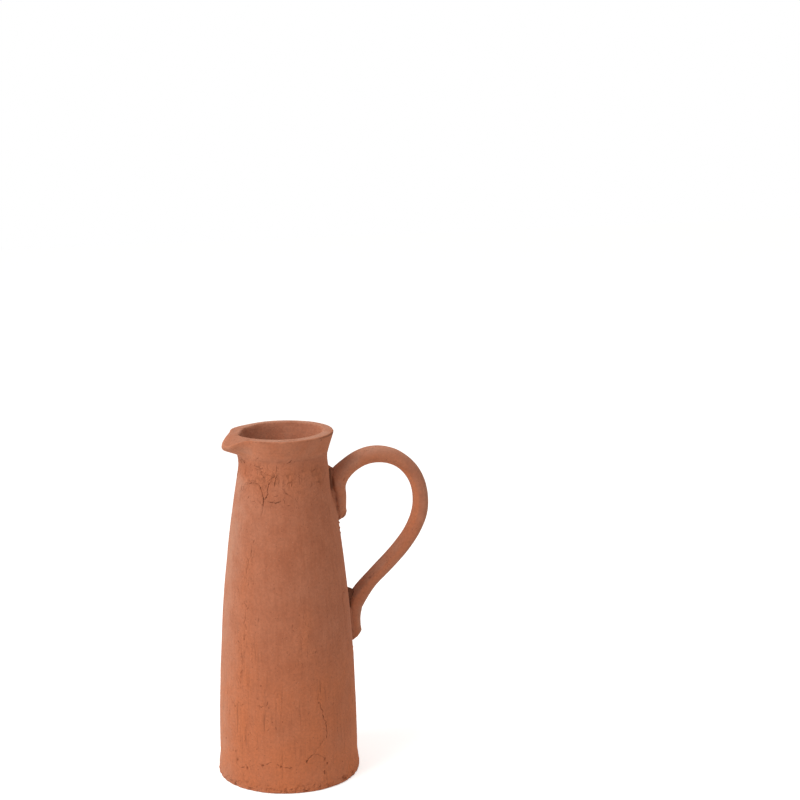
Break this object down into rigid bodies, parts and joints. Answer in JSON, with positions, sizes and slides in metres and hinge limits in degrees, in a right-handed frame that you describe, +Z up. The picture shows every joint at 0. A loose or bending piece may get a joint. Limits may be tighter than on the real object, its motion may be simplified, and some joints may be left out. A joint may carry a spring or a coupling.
{
  "type": "earthenware vase",
  "caption": "Tall tapered earthenware pitcher vase with a flared rim, a pulled pouring lip and a looped strap handle luted to the wall; holds stems or pours water.",
  "frame": {"origin": "centre of the foot's flat underside, on the axis of the body", "axes": "+Z up along the axis of the body, +X towards the handle, the pouring lip towards -X"},
  "size_m": [0.1825, 0.1176, 0.2913],
  "materials": {
    "red_clay": "unglazed, dry matt, coarse grog",
    "wiped_clay": "unglazed, finger-wiped smooth",
    "luting_clay": "unglazed, rough slip"
  },
  "bodies": {
    "root": {"foot_dish": "red_clay", "base_seam_coil": "luting_clay", "body_wall": "red_clay", "neck_seam_coil": "luting_clay", "rim_collar": "wiped_clay", "strap_handle": "red_clay", "upper_luting_pad": "luting_clay", "lower_luting_pad": "luting_clay"}
  },
  "joints": []
}
